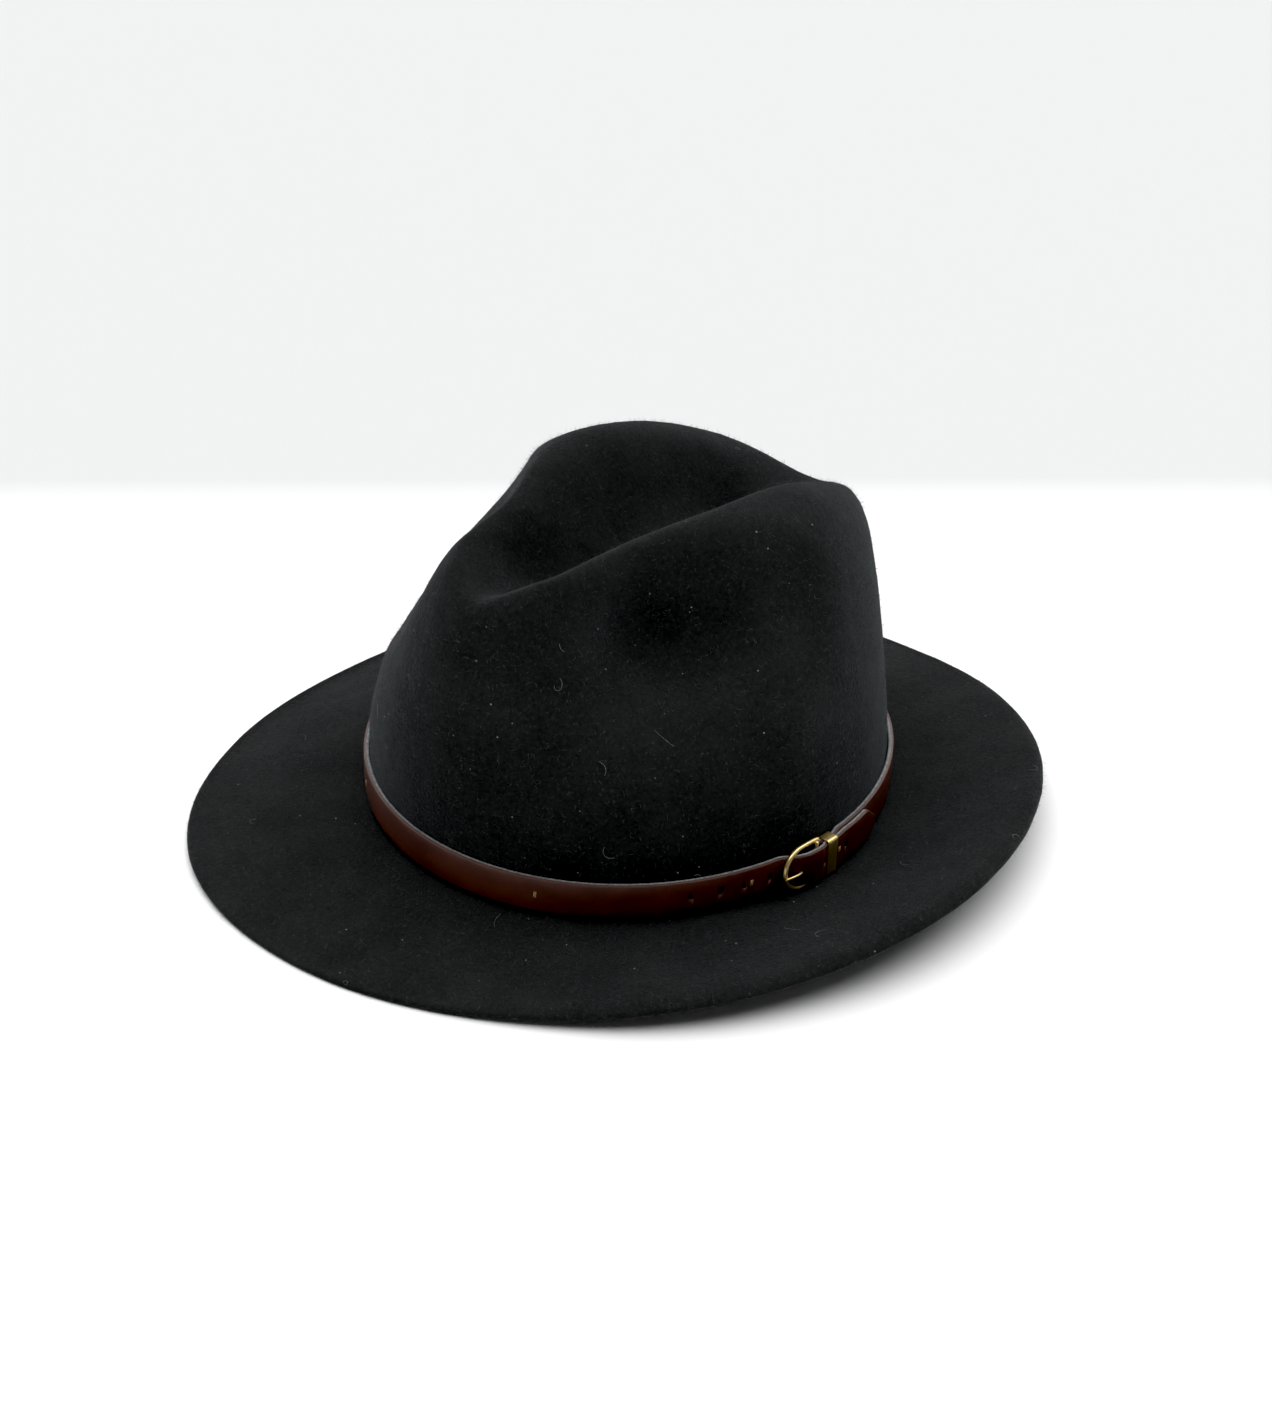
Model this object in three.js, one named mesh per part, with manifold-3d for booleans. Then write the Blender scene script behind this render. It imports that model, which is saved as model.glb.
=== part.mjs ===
import * as THREE from 'three';
import Module from 'manifold-3d';
import { mergeVertices } from 'three/addons/utils/BufferGeometryUtils.js';

// A black felt fedora with a narrow leather band, closed on its left side by a small brass buckle.
// Millimetres, +Z up. The front faces -Y and the left side faces +X.
// The origin is on the surface that the brim rests on, under the middle of the hat's outline.
// The hat is drawn upright in its own frame, with the crown's base at Z = 0, and then settled:
// it leans a little to its left and stands on the front, the back and the right side of its brim.

const wasm = await Module();
wasm.setup();

// Felt
const felt = 2.6;
const crownHalfLength = 98.4;
const crownHalfWidth = 92.8;
const breakRadius = 1.6;
const uprightHeight = 19;
const spineHalfLength = 41.9;
const ridgeHalfLength = 76.2;
const ridgeInner = 11;
const valleyHalfWidth = 13;
const brimHalfLength = 160.3;
const brimHalfWidth = 148.9;
const brimBack = 1.33;
const brimSide = -3.55;
const rimWidth = 4.5;
const rimInset = 0.3;
const rimBulge = 0.6;
const rimRoll = 0.3;

// How the hat settles on the surface
const crownLift = 8.3;
const crownBack = 3.03;
const crownSide = -3.55;
const leanLeftDegrees = 2.38;
const leanFrontDegrees = 0.37;

// Band and buckle. Distances along the band are counted from the buckle's bar, positive to the back.
const bandWidth = 13.2;
const bandLift = 2;
const leather = 1.6;
const skived = 1.0;
const gap = 0.3;
const bandGap = 0.4;
const buckleArc = 144;
const barRadius = 0.75;
const frameRadius = 0.9;
const frameReach = 14.3;
const frameStraight = 7;
const frameEndOffset = 3.3;
const frameProud = 0.4;
const prongRadius = 0.55;
const hookGap = 0.25;
const hookStartDegrees = -180;
const hookSpareDegrees = 25;
const keeperStart = 2.7;
const keeperLength = 5;
const keeperThickness = 0.5;
const underKeeper = 1.2;
const overKeeper = 3.15;
const tipReach = 34;
const tipCut = 3.6;
const tipCutLong = 6.5;
const tipLift = 2.4;
const notchPastBar = 1.6;
const cutDepth = 12;
const holeRadius = 0.9;
const holePitch = 10.6;
const prongHoleAlong = -8.5;
const holesBefore = 4;
const holesAfter = 2;

// Mesh density
const frontColumns = 26;
const backColumns = 10;
const frontDegrees = 110;
const topRows = 7;
const wallRows = 13;
const brimRows = 5;
const bandPieces = 64;
const bendPieces = 8;
const wireSides = 8;
const wireSteps = 28;

// The crown from front (0 degrees) over the side (90) to the back (180), alike on both sides.
// side and high place the ridge round the top dent, pull and swell shape the wall below it,
// round is how far the ridge rolls over outside, and floor is the height of the dent's bottom.
const crownRows = [
  { at: 0, side: 30.6, high: 101.1, pull: 33, swell: 3.6, round: 13.0, floor: 88.4 },
  { at: 30, side: 34.4, high: 109.1, pull: 29, swell: 2.0, round: 12.0, floor: 87.4 },
  { at: 60, side: 28.8, high: 113.9, pull: 27, swell: -0.9, round: 13.4, floor: 86.4 },
  { at: 90, side: 36.3, high: 119.6, pull: 56, swell: -1.1, round: 18.1, floor: 86.4 },
  { at: 120, side: 38.4, high: 115.0, pull: 66, swell: -6.7, round: 23.6, floor: 86.4 },
  { at: 150, side: 41.5, high: 102.4, pull: 73, swell: -9.3, round: 31.7, floor: 84.4 },
  { at: 180, side: 39.3, high: 88.8, pull: 70, swell: -7.0, round: 36.8, floor: 82.4 },
];

// The two pinches in the front of the crown's sides, in degrees from the front and millimetres.
// slant is how much their middle rises with each degree towards the back.
// A smaller sharpness gives a crisper lip, and the onset is the part of the wall, from the ridge
// down, over which the push grows to its full depth.
const pinches = [
  { side: 1, at: 68, high: 90, spread: 41, tall: 31, slant: 0.2, deep: 17 },
  { side: -1, at: 64, high: 90, spread: 35, tall: 31, slant: 0.2, deep: 16 },
];
const pinchSharpness = 1.2;
const pinchOnset = 1 / 3;

// The brim's edge all round, from the front over the left side. reach is added to its oval,
// high is the underside's height above the surface and turn is how far the rim is turned down.
const brimEdge = [
  { at: 0, reach: -1.7, high: -0.5, turn: 0.0 },
  { at: 30, reach: -7.1, high: 1.0, turn: 0.8 },
  { at: 60, reach: -2.3, high: 8.1, turn: 1.8 },
  { at: 90, reach: 2.3, high: 14.7, turn: 1.8 },
  { at: 120, reach: 1.0, high: 14.3, turn: 1.8 },
  { at: 150, reach: -1.2, high: 6.0, turn: 1.2 },
  { at: 180, reach: -3.7, high: -1.0, turn: 0.0 },
  { at: 210, reach: -0.1, high: 0.2, turn: 0.6 },
  { at: 240, reach: -5.3, high: 1.4, turn: 0.8 },
  { at: 270, reach: -5.3, high: -0.8, turn: 0.0 },
  { at: 300, reach: 2.2, high: -1.1, turn: 0.0 },
  { at: 330, reach: 6.1, high: 0.9, turn: 0.6 },
];

// The band's inner face, as its distance from the crown's wall, on its way round the crown.
const bandStart = [
  { along: 0, inside: bandGap, thick: skived },
  { along: 2.2, inside: underKeeper, thick: leather },
  { along: 7.9, inside: underKeeper, thick: leather },
  { along: 13, inside: bandGap, thick: leather },
];
const bandEnd = [
  { along: -17, inside: bandGap, thick: leather },
  { along: -14.3, inside: 0.5, thick: leather },
  { along: -12, inside: 1.7, thick: leather },
  { along: -9, inside: 3.7, thick: leather },
  { along: -6, inside: 4.7, thick: leather },
  { along: -3, inside: 4.95, thick: leather },
  { along: 0.4, inside: 4.8, thick: leather },
  { along: 2.4, inside: overKeeper, thick: leather },
  { along: 8, inside: overKeeper, thick: leather },
  { along: 13, inside: 2.5, thick: leather },
  { along: tipReach, inside: tipLift, thick: leather },
];

// The prong, from its hook round the bar to its point on the frame: distance along and offset.
const prongRun = [
  { along: -3, offset: 3.9 },
  { along: -6.2, offset: 3.95 },
  { along: -8.6, offset: 4.45 },
  { along: -11, offset: 5.0 },
  { along: -15, offset: 5.2 },
];

const settle = new THREE.Matrix4().makeTranslation(crownSide, crownBack, crownLift)
  .multiply(new THREE.Matrix4().makeRotationY(THREE.MathUtils.degToRad(leanLeftDegrees)))
  .multiply(new THREE.Matrix4().makeRotationX(THREE.MathUtils.degToRad(leanFrontDegrees)));

// One column of a table at any angle, on a smooth curve through evenly spaced rows that close.
function around(rows, column, degrees) {
  const place = THREE.MathUtils.euclideanModulo(degrees, 360) * rows.length / 360;
  const row = Math.floor(place);
  const t = place - row;
  const value = (k) => rows[THREE.MathUtils.euclideanModulo(row + k, rows.length)][column];
  const [a, b, c, d] = [value(-1), value(0), value(1), value(2)];
  return b + 0.5 * t * (c - a + t * (2 * a - 5 * b + 4 * c - d + t * (3 * (b - c) + d - a)));
}

// A table of one side becomes a closed one by adding its mirrored rows.
function bothSides(rows) {
  return rows.concat(rows.slice(1, -1).reverse());
}

const crownTable = bothSides(crownRows);

// How far the pinches push the wall in at an angle and a height.
function pinchDepth(degrees, high) {
  let depth = 0;
  for (const pinch of pinches) {
    const turn = pinch.side * (THREE.MathUtils.euclideanModulo(degrees + 180, 360) - 180) - pinch.at;
    const rise = high - pinch.high - pinch.slant * turn;
    const far = (turn / pinch.spread) ** 2 + (rise / pinch.tall) ** 2;
    if (far < 1) depth += pinch.deep * (1 - far) ** pinchSharpness;
  }
  return depth;
}

// The outer face of the felt along one meridian, from the bottom of the top dent to the rim.
function meridian(degrees) {
  const angle = THREE.MathUtils.degToRad(degrees);
  const [sin, cos] = [Math.sin(angle), Math.cos(angle)];
  const row = (column) => around(crownTable, column, degrees);
  const out = new THREE.Vector3(sin * crownHalfLength, -cos * crownHalfWidth, 0).normalize();
  const base = new THREE.Vector3(sin * crownHalfWidth, -cos * crownHalfLength, 0);
  const spine = new THREE.Vector3(0, -cos * spineHalfLength, row('floor'));
  const ridge = new THREE.Vector3(sin * row('side'), -cos * ridgeHalfLength, row('high'));
  const across = new THREE.Vector3(ridge.x, ridge.y - spine.y, 0).normalize();
  const wallFoot = base.clone().setZ(uprightHeight);
  const dent = new THREE.CubicBezierCurve3(
    spine,
    spine.clone().addScaledVector(across, valleyHalfWidth),
    ridge.clone().addScaledVector(across, -ridgeInner),
    ridge,
  );
  const wall = new THREE.CubicBezierCurve3(
    ridge,
    ridge.clone().addScaledVector(across, row('round')),
    wallFoot.clone().addScaledVector(out, row('swell')).setZ(wallFoot.z + row('pull')),
    wallFoot,
  );
  const points = [];
  for (let i = 0; i < topRows; i++) points.push(dent.getPoint(i / topRows));
  for (let i = 0; i <= wallRows; i++) {
    const point = wall.getPoint(i / wallRows);
    const push = pinchDepth(degrees, point.z) * Math.min(1, i / (pinchOnset * wallRows));
    points.push(point.addScaledVector(out, -push));
  }
  for (const turn of [0, 45, 90]) {
    const c = breakRadius * (1 - Math.sin(THREE.MathUtils.degToRad(turn)));
    const r = breakRadius * (1 - Math.cos(THREE.MathUtils.degToRad(turn)));
    points.push(base.clone().addScaledVector(out, r).setZ(c));
  }
  points.forEach((point) => point.applyMatrix4(settle));
  return points.concat(brimRun(points.at(-1), out, degrees));
}

// The brim from the break to its turned-down rim.
function brimRun(start, out, degrees) {
  const angle = THREE.MathUtils.degToRad(degrees);
  const edge = (column) => around(brimEdge, column, degrees);
  const rim = new THREE.Vector3(
    brimSide + (brimHalfWidth + edge('reach')) * Math.sin(angle),
    brimBack - (brimHalfLength + edge('reach')) * Math.cos(angle),
    edge('high') + felt,
  );
  const away = rim.clone().sub(start).setZ(0).normalize();
  const shoulder = rim.clone().addScaledVector(away, -rimWidth);
  shoulder.z += edge('turn');
  const run = new THREE.CubicBezierCurve3(
    start,
    start.clone().addScaledVector(out, start.distanceTo(shoulder) / 3),
    start.clone().lerp(shoulder, 2 / 3),
    shoulder,
  );
  const points = [];
  for (let i = 1; i <= brimRows; i++) points.push(run.getPoint(i / brimRows));
  points.push(shoulder.clone().lerp(rim, 0.5).setZ(shoulder.z - rimRoll * edge('turn')));
  points.push(rim.addScaledVector(away, -rimInset));
  return points;
}

// The angle of a column from the front. Columns stand closer over the pinches than at the back.
function columnAngle(i) {
  if (i <= frontColumns) return frontDegrees * i / frontColumns;
  return frontDegrees + (180 - frontDegrees) * (i - frontColumns) / backColumns;
}

// The felt: the outer face, the same face moved inwards by the felt's thickness, and the rim.
function hatBody() {
  const half = frontColumns + backColumns;
  const columns = 2 * half;
  const grid = [];
  for (let i = 0; i < columns; i++) {
    grid.push(meridian(i <= half ? columnAngle(i) : -columnAngle(columns - i)));
  }
  const rows = grid[0].length;
  const inSheet = half + 1 + columns * (rows - 1);
  const place = (i, row) => {
    const column = i % columns;
    if (row === 0) return Math.min(column, columns - column);
    return half + 1 + columns * (row - 1) + column;
  };
  const corners = new Array(inSheet);
  for (let i = 0; i < columns; i++) {
    for (let row = 0; row < rows; row++) corners[place(i, row)] = grid[i][row];
  }
  const sheet = [];
  for (let i = 0; i < columns; i++) {
    for (let row = 0; row < rows - 1; row++) {
      const [a, b] = [place(i, row), place(i + 1, row)];
      const [c, d] = [place(i + 1, row + 1), place(i, row + 1)];
      sheet.push([a, d, c], [a, c, b]);
    }
  }
  const outer = new THREE.BufferGeometry().setFromPoints(corners);
  outer.setIndex(sheet.flat());
  outer.computeVertexNormals();
  const normals = outer.getAttribute('normal');
  const inner = corners.map((corner, k) => {
    const normal = new THREE.Vector3().fromBufferAttribute(normals, k);
    if (k >= place(0, rows - 1)) normal.set(0, 0, 1);
    const point = corner.clone().addScaledVector(normal, -felt);
    return point.setZ(Math.max(point.z, 0));
  });
  const rim = [];
  for (let i = 0; i < columns; i++) {
    const k = place(i, rows - 1);
    const middle = corners[k].clone().lerp(inner[k], 0.5);
    const away = new THREE.Vector3(middle.x, middle.y, 0).normalize();
    rim.push(middle.addScaledVector(away, rimBulge));
  }
  const faces = sheet.concat(sheet.map(([a, b, c]) => [inSheet + a, inSheet + c, inSheet + b]));
  const rimPlace = (i) => 2 * inSheet + i % columns;
  for (let i = 0; i < columns; i++) {
    const [a, b] = [place(i, rows - 1), place(i + 1, rows - 1)];
    faces.push([a, rimPlace(i), rimPlace(i + 1)], [a, rimPlace(i + 1), b]);
    faces.push([rimPlace(i), inSheet + a, inSheet + b], [rimPlace(i), inSheet + b, rimPlace(i + 1)]);
  }
  const body = new THREE.BufferGeometry().setFromPoints([...corners, ...inner, ...rim]);
  body.setIndex(faces.flat());
  return body;
}

const barOffset = bandGap + skived + gap + barRadius;
const legHigh = bandWidth / 2 + frameProud - frameRadius;

const oval = new THREE.EllipseCurve(0, 0, crownHalfWidth, crownHalfLength, -Math.PI / 2, 1.5 * Math.PI);
oval.arcLengthDivisions = 1440;
const lap = oval.getLength();

// A place on the band: distance along from the buckle's bar, and distance out from the wall.
function bandPoint(along, offset) {
  const u = THREE.MathUtils.euclideanModulo((buckleArc + along) / lap, 1);
  const point = oval.getPointAt(u);
  const tangent = oval.getTangentAt(u);
  return new THREE.Vector2(point.x + offset * tangent.y, point.y - offset * tangent.x);
}

// The frame of a small piece on the band: X along the band, Y up and Z out from the wall.
function bandFrame(along) {
  const place = bandPoint(along, 0);
  const out = bandPoint(along, 1).sub(place);
  const frame = new THREE.Matrix4().makeBasis(
    new THREE.Vector3(-out.y, out.x, 0),
    new THREE.Vector3(0, 0, 1),
    new THREE.Vector3(out.x, out.y, 0),
  );
  return frame.setPosition(place.x, place.y, bandLift + bandWidth / 2);
}

function toSolid(geometry) {
  const bare = geometry.clone();
  bare.deleteAttribute('normal');
  bare.deleteAttribute('uv');
  const merged = mergeVertices(bare, 1e-4);
  return new wasm.Manifold(new wasm.Mesh({
    numProp: 3,
    vertProperties: new Float32Array(merged.getAttribute('position').array),
    triVerts: new Uint32Array(merged.getIndex().array),
  }));
}

function toGeometry(solid) {
  const mesh = solid.getMesh();
  const geometry = new THREE.BufferGeometry();
  geometry.setAttribute('position', new THREE.BufferAttribute(mesh.vertProperties, 3));
  geometry.setIndex(new THREE.BufferAttribute(mesh.triVerts, 1));
  return geometry;
}

function circle(radius) {
  const points = [];
  for (let i = 0; i < wireSides; i++) {
    const angle = 2 * Math.PI * i / wireSides;
    points.push(new THREE.Vector2(radius * Math.cos(angle), radius * Math.sin(angle)));
  }
  return new THREE.Shape(points);
}

// A round wire bent along a smooth curve through the points.
function wire(points, radius) {
  return new THREE.ExtrudeGeometry(circle(radius), {
    extrudePath: new THREE.CatmullRomCurve3(points),
    steps: wireSteps,
    bevelEnabled: false,
  });
}

// The band's outline from above, one lap and the overlap, extruded to the band's width.
function bandOutline() {
  const run = [...bandStart];
  const last = lap + bandEnd[0].along;
  const first = bandStart.at(-1).along;
  for (let i = 1; i < bandPieces; i++) {
    run.push({ along: THREE.MathUtils.lerp(first, last, i / bandPieces), inside: bandGap, thick: leather });
  }
  for (const row of bandEnd) run.push({ ...row, along: lap + row.along });
  const beyondKeeper = 3;
  const tipRow = run.pop();
  const tipStart = run.at(-1).along;
  for (let i = 1; i <= beyondKeeper; i++) {
    run.push({ ...tipRow, along: THREE.MathUtils.lerp(tipStart, tipRow.along, i / beyondKeeper) });
  }
  const outside = run.map((row) => bandPoint(row.along, row.inside + row.thick));
  const inside = run.map((row) => bandPoint(row.along, row.inside)).reverse();
  const fold = (radius) => {
    const points = [];
    for (let i = 1; i <= bendPieces; i++) {
      const angle = -Math.PI / 2 - Math.PI * i / bendPieces;
      points.push(bandPoint(radius * Math.cos(angle), barOffset + radius * Math.sin(angle)));
    }
    return points;
  };
  const outerFold = fold(barRadius + gap + skived);
  const innerFold = fold(barRadius + gap).reverse();
  return new THREE.Shape([...outside, ...inside, ...outerFold, ...innerFold]);
}

// The frame's bent wire, an open horseshoe with both ends on the bar, in the bar's own frame.
function horseshoe() {
  const points = [];
  const lean = (x) => barOffset + (frameEndOffset - barOffset) * (-x / frameReach);
  for (const x of [0, -frameStraight / 2]) points.push(new THREE.Vector3(x, legHigh, lean(x)));
  for (let i = 0; i <= bendPieces; i++) {
    const angle = Math.PI / 2 + Math.PI * i / bendPieces;
    const x = -frameStraight + (frameReach - frameStraight) * Math.cos(angle);
    points.push(new THREE.Vector3(x, legHigh * Math.sin(angle), lean(x)));
  }
  for (const x of [-frameStraight / 2, 0]) points.push(new THREE.Vector3(x, -legHigh, lean(x)));
  return points;
}

// The prong's hook, three quarters of a turn round the bar, in the bar's own frame.
function hook(spare) {
  const points = [];
  const radius = barRadius + hookGap + prongRadius;
  const start = THREE.MathUtils.degToRad(hookStartDegrees - spare);
  for (let i = 0; i <= bendPieces; i++) {
    const angle = THREE.MathUtils.lerp(start, Math.PI / 2, i / bendPieces);
    points.push(new THREE.Vector3(radius * Math.cos(angle), 0, barOffset + radius * Math.sin(angle)));
  }
  return points;
}

function prongWire(radius, spare) {
  const run = prongRun.map((row) => new THREE.Vector3(row.along, 0, row.offset));
  return wire([...hook(spare), ...run], radius);
}

function bandStrap() {
  const outline = new THREE.ExtrudeGeometry(bandOutline(), { depth: bandWidth, bevelEnabled: false });
  outline.translate(0, 0, bandLift);
  let strap = toSolid(outline);
  const cut = (geometry, along) => {
    strap = strap.subtract(toSolid(geometry.applyMatrix4(bandFrame(along))));
  };
  for (let i = -holesBefore; i <= holesAfter; i++) {
    if (i === 0) continue;
    const hole = new THREE.ExtrudeGeometry(circle(holeRadius), { depth: cutDepth, bevelEnabled: false });
    const start = i > 0 ? bandGap + leather + gap : -gap;
    cut(hole.translate(0, 0, start), prongHoleAlong + i * holePitch);
  }
  cut(prongWire(prongRadius + gap, hookSpareDegrees), 0);
  const legRoom = legHigh - frameRadius - gap;
  const notchLength = frameStraight + notchPastBar;
  for (const side of [-1, 1]) {
    const notch = new THREE.BoxGeometry(notchLength, bandWidth, cutDepth);
    const middle = (notchPastBar - frameStraight) / 2;
    cut(notch.translate(middle, side * (legRoom + bandWidth / 2), cutDepth / 2 - gap), 0);
  }
  cut(wire(horseshoe(), frameRadius + gap), 0);
  for (const [side, size] of [[1, tipCut], [-1, tipCutLong]]) {
    const corner = new THREE.Shape([
      new THREE.Vector2(0, side * (bandWidth / 2 - size)),
      new THREE.Vector2(size, side * (bandWidth / 2 - 2 * size)),
      new THREE.Vector2(size, side * (bandWidth / 2 + size)),
      new THREE.Vector2(-2 * size, side * (bandWidth / 2 + size)),
    ]);
    const cutter = new THREE.ExtrudeGeometry(corner, { depth: cutDepth, bevelEnabled: false });
    cut(cutter.translate(0, 0, bandGap + leather + gap / 2), tipReach);
  }
  return toGeometry(strap);
}

function buckleFrame() {
  const bar = new THREE.CylinderGeometry(barRadius, barRadius, 2 * legHigh, wireSides);
  bar.translate(0, 0, barOffset);
  const frame = toSolid(wire(horseshoe(), frameRadius)).add(toSolid(bar));
  return toGeometry(frame).applyMatrix4(bandFrame(0));
}

function buckleProng() {
  return prongWire(prongRadius, 0).applyMatrix4(bandFrame(0));
}

function buckleKeeper() {
  const front = overKeeper + leather + gap;
  const back = underKeeper - gap;
  const half = bandWidth / 2 + gap;
  const box = (grow) => [
    new THREE.Vector2(back - grow, -half - grow),
    new THREE.Vector2(front + grow, -half - grow),
    new THREE.Vector2(front + grow, half + grow),
    new THREE.Vector2(back - grow, half + grow),
  ];
  const loop = new THREE.Shape(box(keeperThickness));
  loop.holes.push(new THREE.Path(box(0)));
  const keeper = new THREE.ExtrudeGeometry(loop, { depth: keeperLength, bevelEnabled: false });
  keeper.rotateY(-Math.PI / 2);
  keeper.translate(keeperLength / 2, 0, 0);
  return keeper.applyMatrix4(bandFrame(keeperStart + keeperLength / 2));
}

function material(color, roughness, metalness) {
  return new THREE.MeshStandardMaterial({ color, roughness, metalness });
}

const blackFelt = material('#1b1c1c', 0.95, 0);
const brownLeather = material('#4a2418', 0.5, 0);
const brass = material('#b08d48', 0.3, 1);

const group = new THREE.Group();
function add(name, geometry, look, settled) {
  const mesh = new THREE.Mesh(geometry, look);
  mesh.name = name;
  if (settled) geometry.applyMatrix4(settle);
  group.add(mesh);
}

add('hat_body', hatBody(), blackFelt, false);
add('band_strap', bandStrap(), brownLeather, true);
add('buckle_frame', buckleFrame(), brass, true);
add('buckle_prong', buckleProng(), brass, true);
add('buckle_keeper', buckleKeeper(), brass, true);

export default group;
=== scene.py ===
"""A black felt fedora with a narrow buckled leather band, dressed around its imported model.

Pieces are in metres, in the model's frame: the front faces -Y, the left side +X, up is +Z.
"""
import math
import random
from bisect import bisect_left

import bmesh
import bpy
from bpy.props import FloatProperty, FloatVectorProperty, IntProperty, PointerProperty
from mathutils import Matrix, Vector, noise


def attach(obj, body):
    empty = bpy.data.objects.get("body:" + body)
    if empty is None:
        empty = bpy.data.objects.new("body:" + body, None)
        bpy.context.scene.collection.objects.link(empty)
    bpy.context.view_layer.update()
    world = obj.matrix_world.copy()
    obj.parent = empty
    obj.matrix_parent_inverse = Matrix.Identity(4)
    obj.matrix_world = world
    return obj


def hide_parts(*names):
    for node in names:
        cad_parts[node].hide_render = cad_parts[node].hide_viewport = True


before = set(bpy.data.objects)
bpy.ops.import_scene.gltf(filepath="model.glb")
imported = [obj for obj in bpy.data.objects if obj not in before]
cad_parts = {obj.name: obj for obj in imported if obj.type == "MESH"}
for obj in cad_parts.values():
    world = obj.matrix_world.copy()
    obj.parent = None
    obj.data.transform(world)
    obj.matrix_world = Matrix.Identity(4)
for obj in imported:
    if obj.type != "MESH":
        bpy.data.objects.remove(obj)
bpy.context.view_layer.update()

bl_info = {
    "name": "Buckled Felt Fedora",
    "version": (1, 0, 0),
    "blender": (4, 5, 0),
    "location": "3D View > Sidebar > Fedora",
    "description": "Dresses a felt fedora with fuzz, a leather band, a brass buckle and a pale stage",
    "category": "Add Mesh",
}

MM = 0.001


def named_rows(columns, *rows):
    """The rows of a table, each value under its column's name."""
    return [dict(zip(columns, row)) for row in rows]


# The crown's foot, an oval in the crown's own frame, and how the crown stands, in millimetres
CROWN_HALF_LENGTH = 98.4
CROWN_HALF_WIDTH = 92.8
CROWN_PLACE = (-3.55, 3.03, 8.3)
LEAN_LEFT = math.radians(2.38)
LEAN_FRONT = math.radians(0.37)
SETTLE = (
    Matrix.Translation(CROWN_PLACE)
    @ Matrix.Rotation(LEAN_LEFT, 4, "Y")
    @ Matrix.Rotation(LEAN_FRONT, 4, "X")
)
UNSETTLE = SETTLE.inverted()

# The band, in millimetres. Distances along it are counted from the buckle's bar, positive to the back.
BAND_LIFT = 2.0
BAND_WIDTH = 13.2
EDGE_SHARE = 0.55
BAR_ARC = 144.0
GAP = 0.3
WALL_GAP = 0.05
SKIVED = 1.0
BAR_RADIUS = 0.75
BAR_OFFSET = 2.45
FRAME_RADIUS = 0.9
FRAME_REACH = 16.0
FRAME_STRAIGHT = 8.0
FRAME_END_OFFSET = 3.4
FRAME_TOP = 7.8
FRAME_BOTTOM = -6.8
FRAME_TILT = 0.14
BAR_HALF = 6.1
PRONG_RADIUS = 0.55
HOOK_RADIUS = BAR_RADIUS + 0.8
KEEPER_START = 2.7
KEEPER_LENGTH = 5.0
KEEPER_THICK = 0.5
KEEPER_BACK = 0.9
KEEPER_FRONT = 5.05
KEEPER_BEND = 0.75
HOLES_ALONG = (-49.2, -38.8, -30.0, -20.2, -9.6, 0.8, 13.4)
HOLE_RADIUS = 0.85
BAND_STEP = 4.0
FINE_STEP = 0.7
COARSE_STEP = 1.6
FINE_REACH = 16

# The points of the band's section between which its upper edge is raw
RAW_FROM = 11
RAW_TO = 14

# The band's rows: distance along, the inner face's distance from the wall, the half widths above
# and below the middle, and how smoothly the row is reached, from 0 for straight to 1
BAND_COLUMNS = ("along", "inside", "above", "below", "ease")
BAND_START = named_rows(
    BAND_COLUMNS,
    (0.6, WALL_GAP, 4.9, 4.9, 1),
    (1.6, 0.6, 6.0, 6.0, 1),
    (2.6, 1.2, 6.6, 6.6, 1),
    (7.9, 1.2, 6.6, 6.6, 1),
    (13.0, WALL_GAP, 6.6, 6.6, 1),
)
BAND_END = named_rows(
    BAND_COLUMNS,
    (-19.0, WALL_GAP, 6.6, 6.6, 1),
    (-15.4, 0.1, 6.6, 6.4, 1),
    (-13.4, 0.9, 6.5, 4.7, 1),
    (-11.4, 2.3, 6.6, 4.2, 0.5),
    (-9.2, 3.5, 6.8, 4.2, 0.5),
    (-7.0, 4.4, 7.0, 4.8, 0.5),
    (-4.0, 4.7, 7.2, 6.2, 1),
    (-0.8, 4.5, 7.0, 6.7, 1),
    (1.4, 3.8, 6.7, 6.6, 0.5),
    (2.7, 3.15, 6.6, 6.6, 1),
    (8.0, 3.1, 6.6, 6.6, 1),
    (14.0, 2.5, 6.6, 6.6, 1),
    (27.9, 2.3, 6.6, 6.6, 1),
    (30.3, 2.3, 4.4, 6.6, 0),
    (33.6, 2.3, 1.5, 3.5, 0),
    (34.0, 2.3, 1.0, 2.9, 0),
)

# The prong, from its hook round the bar to its point on the frame
PRONG_RUN = [
    {"along": -3.0, "offset": 3.9},
    {"along": -6.2, "offset": 3.95},
    {"along": -8.8, "offset": 4.7},
    {"along": -11.6, "offset": 5.2},
    {"along": -17.0, "offset": 4.6},
]

# The thread tacks: distance along the band, height of the middle, length and the face they lie on
TACKS = named_rows(
    ("along", "up", "high", "outside"),
    (-101.6, 0.2, 3.0, 2.05),
    (-27.4, 0.8, 2.8, 2.05),
    (-196.0, -0.6, 3.0, 2.05),
    (8.9, 1.0, 2.6, 5.1),
)
THREAD_RADIUS = 0.2

# The lower lip of each side dent, on the crown's wall in its own frame: the middle's angle from the
# front and height, the half widths towards the front and the back, the half height, and how far
# the felt turns in above the lip and out at it
DENT_LIPS = named_rows(
    ("at", "high", "front", "back", "tall", "inward", "outward"),
    (61.0, 100.0, 34.0, 31.0, 31.0, 8.0, 4.6),
    (-62.0, 97.0, 33.0, 31.0, 31.0, 1.8, 0.5),
)

# The lips are shaped from the floor height up, and fade from the ease below the top height to the
# fade above it
DENT_FLOOR = 20.0
DENT_EASE = 4.0
DENT_TOP = 86.0
DENT_FADE = 16.0

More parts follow.
